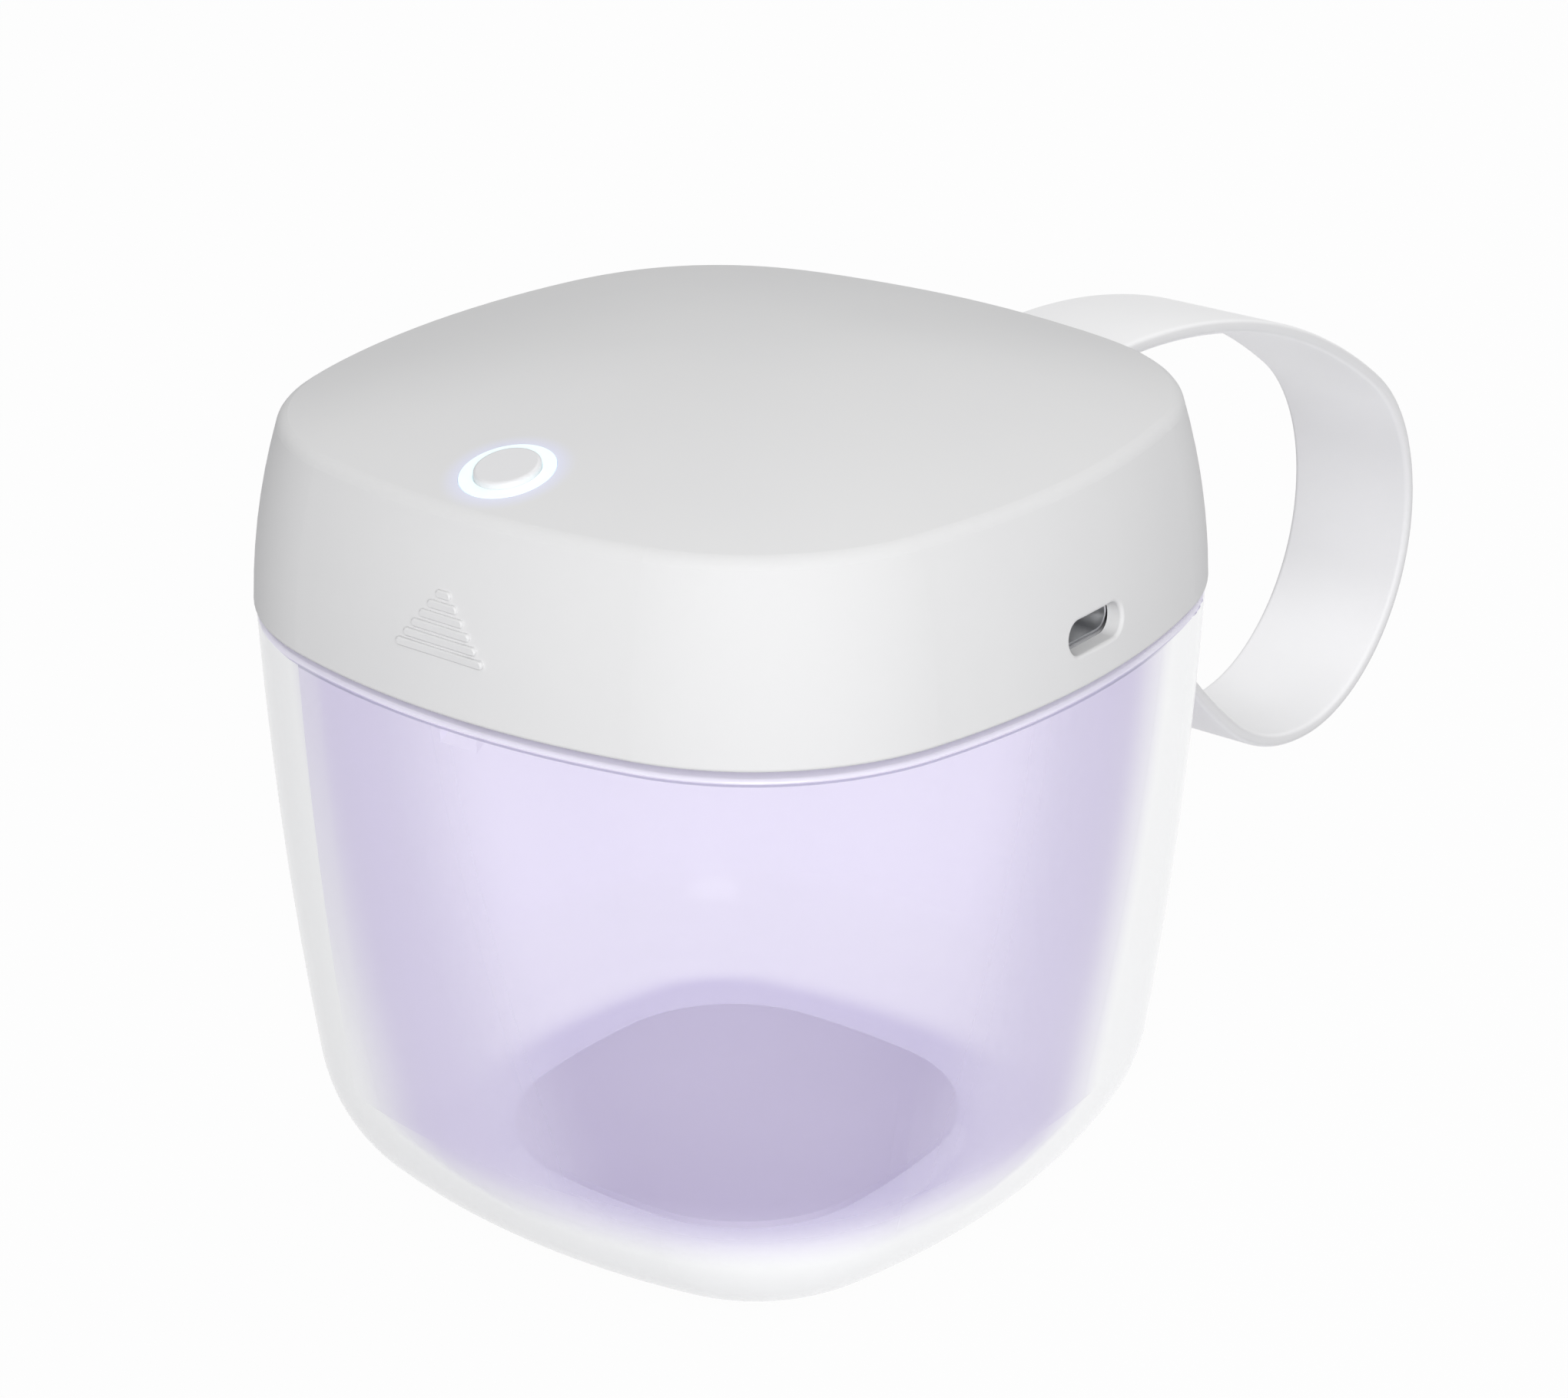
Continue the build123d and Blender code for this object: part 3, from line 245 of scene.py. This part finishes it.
def cup_clear():
    """Clear plastic: milky where it is seen edge-on and at its base, with the lamps' lavender light painted on
    its inner side, painted shade towards the window's edges, and painted light and a painted highlight on its
    outer side.
    """
    sheet = Sheet("cup_clear")
    x, y, z = sheet.place()
    to_x, to_y, to_z = sheet.heading()
    outward = x * to_x + y * to_y
    floor = to_z.fade(0.4, 0.6) * (1 - z.fade(18 * MM, 22 * MM))
    inside = (1 - outward.fade(-1 * MM, 0.0)).at_least(floor)
    facing = sheet.node("ShaderNodeLayerWeight", {}, {"Blend": 0.5}, result=1)
    edge_on = facing - to_x.at_least(0.0) * 0.09
    base = 1 - z.fade(11 * MM, 17.5 * MM)
    milk = edge_on.fade(0.495, 0.605).at_least(base)
    # painted shade: the lavender seen inside gets darker towards the window's edges
    painted_edge_shade = edge_on.fade(0.28, 0.50)
    fine = sheet.noise(2600.0, 2.0)
    # painted shade: the outer skin turns a deeper lavender towards the window's edges and the base
    painted_edge_veil = edge_on.fade(0.29, 0.47).at_least((1 - z.fade(13 * MM, 19 * MM)) * 0.5)
    # painted shade: a thin dark line just below the rim band, where a fine groove runs
    painted_rim_shade_line = z.fade(66.4 * MM, 66.55 * MM) * (1 - z.fade(66.7 * MM, 66.85 * MM)) * (1 - milk)
    # painted highlight: a light band along the cup's rim just under the lid
    painted_rim_highlight = z.fade(66.8 * MM, 66.9 * MM) * (1 - z.fade(67.3 * MM, 67.5 * MM))
    skin = sheet.mix(painted_edge_veil, rgb(238, 235, 247), rgb(214, 206, 235))
    skin = sheet.mix(milk, skin, rgb(244, 245, 245))
    skin = sheet.mix(painted_rim_highlight, skin, rgb(236, 233, 246))
    skin = sheet.mix(painted_rim_shade_line, skin, rgb(150, 147, 176))
    # painted light: the lamps' lavender light on the inner side, with painted shade towards the window's edges
    lining_painted_light = sheet.mix(painted_edge_shade, rgb(227, 221, 241), rgb(190, 181, 217))
    # painted glow on the outer skin where it turns lavender
    painted_glow = sheet.mix(painted_edge_veil, (0.0, 0.0, 0.0, 1), (0.05, 0.055, 0.04, 1))
    # painted light: the milky parts glow, brighter on the side facing +X
    painted_milk_light = sheet.mix(to_x, (0.075, 0.075, 0.075, 1), (0.155, 0.155, 0.153, 1))
    painted_glow = sheet.mix(milk, painted_glow, painted_milk_light)
    # painted light: lavender lamp light glowing on the inner side, weaker where the painted shade deepens
    painted_lining_light = sheet.mix(painted_edge_shade, (0.26, 0.238, 0.31, 1), (0.13, 0.115, 0.185, 1))
    surface = sheet.plastic(
        base_color=sheet.mix(inside, skin, lining_painted_light),
        roughness=0.16 + fine * 0.05,
        alpha=(0.08 + painted_edge_veil * 0.66).at_least(milk * 0.98).at_least(painted_rim_shade_line * 0.6).at_least(painted_rim_highlight * 0.8) * (1 - inside) + (0.40 + painted_edge_shade * 0.22) * inside,
        emission_color=sheet.mix(inside, painted_glow, painted_lining_light),
        emission_strength=1.0,
    )
    return sheet.finish(surface)


def tongue_black():
    """Black tongue in the socket, with painted light on its rear half: light grey and glowing, as if it caught
    the light of the metal beside it.
    """
    sheet = Sheet("tongue_black")
    fine = sheet.noise(2500.0, 2.0)
    # painted light: the rear half is light grey and glows
    painted_lit_half = sheet.place()[1].fade(0.7 * MM, 0.9 * MM)
    black = sheet.mix(fine, rgb(20, 20, 22), rgb(14, 14, 16))
    surface = sheet.plastic(
        base_color=sheet.mix(painted_lit_half, black, rgb(186, 187, 186)),
        roughness=0.45 + (fine - 0.5) * 0.12,
        normal=sheet.bump(fine, 0.00002, 0.35),
        emission_color=sheet.mix(painted_lit_half, (0.0, 0.0, 0.0, 1), (0.12, 0.12, 0.12, 1)),
        emission_strength=1.0,
    )
    return sheet.finish(surface)


def strap_silicone():
    """Soft white rubber with painted light on it: a faint glow all over, strongest where it lies level."""
    sheet = Sheet("strap_silicone")
    cloud = sheet.noise(60.0)
    fine = sheet.noise(2200.0, 2.0)
    # painted light: the rubber glows faintly all over and most where it lies level
    level = sheet.heading()[2].math("ABSOLUTE").fade(0.3, 0.85)
    surface = sheet.plastic(
        base_color=sheet.mix(cloud, rgb(227, 227, 228), rgb(224, 224, 225)),
        roughness=0.5 + (fine - 0.5) * 0.12,
        normal=sheet.bump(fine, 0.00002, 0.35),
        emission_color=sheet.mix(level, (0.04, 0.04, 0.04, 1), (0.19, 0.19, 0.19, 1)),
        emission_strength=1.0,
    )
    return sheet.finish(surface)


def glowing(name, colour, strength):
    sheet = Sheet(name)
    fine = sheet.noise(900.0, 2.0)
    shade = tuple(part * 0.9 for part in colour[:3]) + (1,)
    surface = sheet.plastic(
        base_color=sheet.mix(fine, colour, shade),
        roughness=0.25 + fine * 0.1,
        emission_color=sheet.mix(fine, colour, shade),
        emission_strength=strength,
    )
    return sheet.finish(surface)


def metal(name, colour, roughness):
    sheet = Sheet(name)
    fine = sheet.noise(1800.0, 3.0)
    surface = sheet.plastic(
        base_color=sheet.mix(fine, colour, tuple(part * 0.86 for part in colour[:3]) + (1,)),
        metallic=1.0,
        roughness=roughness + (fine - 0.5) * 0.14,
        normal=sheet.bump(fine, 0.00001, 0.3),
    )
    return sheet.finish(surface)


def floor_white():
    """White floor with a faint shadow. Gloss and clear plastic see it as bright as the eye does."""
    sheet = Sheet("floor_white")
    light = sheet.tree.nodes.new("ShaderNodeLightPath")
    seen = Value(sheet, light.outputs["Is Camera Ray"])
    for way in ("Is Glossy Ray", "Is Transmission Ray"):
        seen = seen.at_least(Value(sheet, light.outputs[way]))
    diffuse = sheet.node("ShaderNodeBsdfDiffuse", {}, {"Color": rgb(195, 195, 197)})
    bright = sheet.node("ShaderNodeEmission", {}, {"Color": (1, 1, 1, 1), "Strength": 1.0})
    surface = sheet.node("ShaderNodeMixShader", {}, {0: seen * 0.97, 1: diffuse, 2: bright})
    return sheet.finish(surface)


def dress(material, *names):
    for name in names:
        data = nodes[name].data
        data.materials.clear()
        data.materials.append(material)


def dress_nodes():
    white = lid_white()
    dress(white, "lid_shell")
    dress(moulded("button_white", rgb(231, 231, 232), rgb(227, 227, 229), 0.42), "button_cap")
    dress(moulded("cover_white", rgb(232, 232, 234), rgb(226, 226, 229), 0.45), "inner_cover")
    dress(cup_clear(), "cup_shell")
    dress(moulded("floor_mirror", rgb(232, 228, 238), rgb(225, 221, 232), 0.2), "floor_plate")
    dress(glowing("ring_clear", (0.83, 0.97, 1.0, 1), 0.32), "light_ring")
    dress(glowing("lamp_white", (0.62, 0.5, 1.0, 1), 1.0), "ultraviolet_lamps", "status_lamps")
    dress(glowing("window_clear", (0.7, 0.62, 0.95, 1), 0.5), "lamp_window")
    dress(metal("socket_steel", rgb(222, 223, 226), 0.38), "socket_shell")
    dress(metal("pin_steel", rgb(200, 201, 204), 0.25), "hinge_pin")
    dress(metal("screw_steel", rgb(180, 182, 186), 0.3), "lid_screws", "board_screws", "button_board_screws")
    dress(metal("magnet_metal", rgb(170, 171, 174), 0.3), "cup_magnet", "lid_magnet")
    dress(metal("battery_foil", rgb(196, 198, 204), 0.35), "battery")
    dress(moulded("switch_black", rgb(28, 28, 30), rgb(20, 20, 22), 0.4), "switch_body", "switch_plunger", "board_chips", "lid_sensor")
    dress(tongue_black(), "socket_tongue")
    dress(moulded("board_green", rgb(30, 92, 52), rgb(22, 78, 44), 0.35), "main_board", "button_board")
    dress(moulded("foam_grey", rgb(90, 90, 94), rgb(78, 78, 82), 0.8), "battery_pad")
    dress(moulded("seal_silicone", rgb(214, 214, 218), rgb(204, 204, 208), 0.55), "seal_ring")
    dress(moulded("flex_amber", rgb(186, 120, 44), rgb(170, 104, 36), 0.35), "flex_lead")


# ---------------------------------------------------------------- strap
STRAP_WIDTH = 17.0 * MM
STRAP_THICKNESS = 1.7 * MM
STRAP_START = (41.5 * MM, 78.4 * MM)  # inside the lid's rear wall, in Y and Z
STRAP_BEND_Y = 59.86 * MM
STRAP_TURNS = ((101.0, 35.7), (25.4, 55.4), (22.6, 89.1), (30.2, 38.0), (97.4, 12.5))
HINGE = (48.2 * MM, 67.6 * MM)
STRAP_STEP = 1.2 * MM


def strap_route():
    """Points along the middle of the band in Y and Z, with the way each one heads."""
    y, z = STRAP_START
    heading = 0.0
    route = []

    def straight(length):
        nonlocal y, z
        steps = max(2, round(length / STRAP_STEP))
        for step in range(steps):
            part = length * step / steps
            route.append((y + part * math.cos(heading), z + part * math.sin(heading), heading))
        y += length * math.cos(heading)
        z += length * math.sin(heading)

    straight(STRAP_BEND_Y - STRAP_START[0])
    for radius, turn in STRAP_TURNS:
        radius *= MM
        turn = math.radians(turn)
        steps = max(4, round(radius * turn / STRAP_STEP))
        centre = (y + radius * math.sin(heading), z - radius * math.cos(heading))
        for step in range(steps):
            angle = heading - turn * step / steps
            route.append((centre[0] - radius * math.sin(angle), centre[1] + radius * math.cos(angle), angle))
        heading -= turn
        y = centre[0] - radius * math.sin(heading)
        z = centre[1] + radius * math.cos(heading)
    straight(math.hypot(HINGE[0] - y, HINGE[1] - z))
    route.append((HINGE[0], HINGE[1], heading))
    return route


def band_section(width, thickness, steps=5):
    """Outline of a flat band with rounded edges: places across it and out from its middle."""
    radius = thickness * 0.42
    outline = []
    for side_x, side_n, start in ((1, 1, 0), (-1, 1, 90), (-1, -1, 180), (1, -1, 270)):
        for step in range(steps):
            angle = math.radians(start + 90 * step / (steps - 1))
            across = side_x * (width / 2 - radius) + radius * math.cos(angle)
            out = side_n * (thickness / 2 - radius) + radius * math.sin(angle)
            outline.append((across, out))
    return outline


def mesh_piece(name, verts, faces, material, smooth=True):
    data = bpy.data.meshes.new(name)
    data.from_pydata(verts, [], faces)
    data.materials.append(material)
    for face in data.polygons:
        face.use_smooth = smooth
    data.update()
    piece = bpy.data.objects.new(name, data)
    bpy.context.scene.collection.objects.link(piece)
    return piece


def add_strap():
    section = band_section(STRAP_WIDTH, STRAP_THICKNESS)
    count = len(section)
    verts = []
    for y, z, heading in strap_route():
        for across, out in section:
            verts.append((across, y - out * math.sin(heading), z + out * math.cos(heading)))
    rows = len(verts) // count
    faces = []
    for row in range(rows - 1):
        for place in range(count):
            after = (place + 1) % count
            low = row * count
            high = low + count
            faces.append((low + place, low + after, high + after, high + place))
    faces.append(tuple(range(count)))
    faces.append(tuple(reversed(range((rows - 1) * count, rows * count))))
    strap = mesh_piece("soft_strap", verts, faces, strap_silicone())
    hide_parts("strap")
    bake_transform(strap)


# ---------------------------------------------------------------- screw heads
SCREW_PLACE = 27.5 * MM  # of the cover's four screws, from the middle planes
SCREW_HEAD_Z = 67.9 * MM
CROSS_LENGTH = 2.0 * MM
CROSS_WIDTH = 0.46 * MM
CROSS_DEPTH = 0.35 * MM
CROSS_PROUD = 0.01 * MM


def cross_outline():
    """Corners of a cross, in order round it."""
    long = CROSS_LENGTH / 2
    short = CROSS_WIDTH / 2
    arm = [(long, -short), (long, short), (short, short)]
    outline = []
    for turn in range(4):
        cosine, sine = ((1, 0), (0, 1), (-1, 0), (0, -1))[turn]
        outline += [(x * cosine - y * sine, x * sine + y * cosine) for x, y in arm]
    return outline


def add_screw_crosses():
    """A dark cross of painted shade on each cover screw's head, where its cross recess is, seen when the lid
    is open.
    """
    # painted shade: the cross recess in each screw head drawn as a dark cross
    finish = moulded("cross_recess_painted_shade", rgb(58, 59, 62), rgb(44, 45, 48), 0.5)
    outline = cross_outline()
    count = len(outline)
    low = SCREW_HEAD_Z - CROSS_PROUD
    high = SCREW_HEAD_Z + CROSS_DEPTH
    number = 0
    for side in (-1, 1):
        for end in (-1, 1):
            number += 1
            verts = []
            for z in (low, high):
                verts += [(side * SCREW_PLACE + x, end * SCREW_PLACE + y, z) for x, y in outline]
            faces = [tuple(reversed(range(count))), tuple(range(count, 2 * count))]
            for place in range(count):
                after = (place + 1) % count
                faces.append((place, after, count + after, count + place))
            cross = mesh_piece("screw_cross_%d" % number, verts, faces, finish, smooth=False)
            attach(cross, "lid")


# ---------------------------------------------------------------- floor and light
def add_floor():
    size = 6.0
    corners = [(-size, -size, 0), (size, -size, 0), (size, size, 0), (-size, size, 0)]
    floor = mesh_piece("floor", corners, [(0, 1, 2, 3)], floor_white(), smooth=False)


def add_lamp(name, place, size, power, colour=(1, 1, 1)):
    data = bpy.data.lights.new(name, "AREA")
    data.shape = "DISK"
    data.size = size
    data.energy = power
    data.color = colour
    lamp = bpy.data.objects.new(name, data)
    bpy.context.scene.collection.objects.link(lamp)
    lamp.location = place
    lamp.rotation_euler = (Vector(place) - Vector((0, 0, 0.05))).to_track_quat("Z", "Y").to_euler()


def add_world():
    world = bpy.data.worlds.new("studio")
    bpy.context.scene.world = world
    world.use_nodes = True
    tree = world.node_tree
    tree.nodes.clear()
    light = tree.nodes.new("ShaderNodeLightPath")
    output = tree.nodes.new("ShaderNodeOutputWorld")
    soft = tree.nodes.new("ShaderNodeBackground")
    soft.inputs["Color"].default_value = (1, 1, 1, 1)
    soft.inputs["Strength"].default_value = 0.47
    bright = tree.nodes.new("ShaderNodeBackground")
    bright.inputs["Strength"].default_value = 1.0
    bright.inputs["Color"].default_value = (1, 1, 1, 1)
    mix = tree.nodes.new("ShaderNodeMixShader")
    tree.links.new(light.outputs["Is Camera Ray"], mix.inputs[0])
    tree.links.new(soft.outputs[0], mix.inputs[1])
    tree.links.new(bright.outputs[0], mix.inputs[2])
    tree.links.new(mix.outputs[0], output.inputs[0])


add_camera()
dress_nodes()
add_strap()
add_screw_crosses()
add_floor()
add_lamp("key_lamp", (0.869, -0.965, 0.574), 0.8, 13.4)
add_lamp("top_lamp", (-0.25, 0.9, 1.25), 1.0, 5.2)
add_world()
bpy.context.scene.view_settings.view_transform = "Standard"
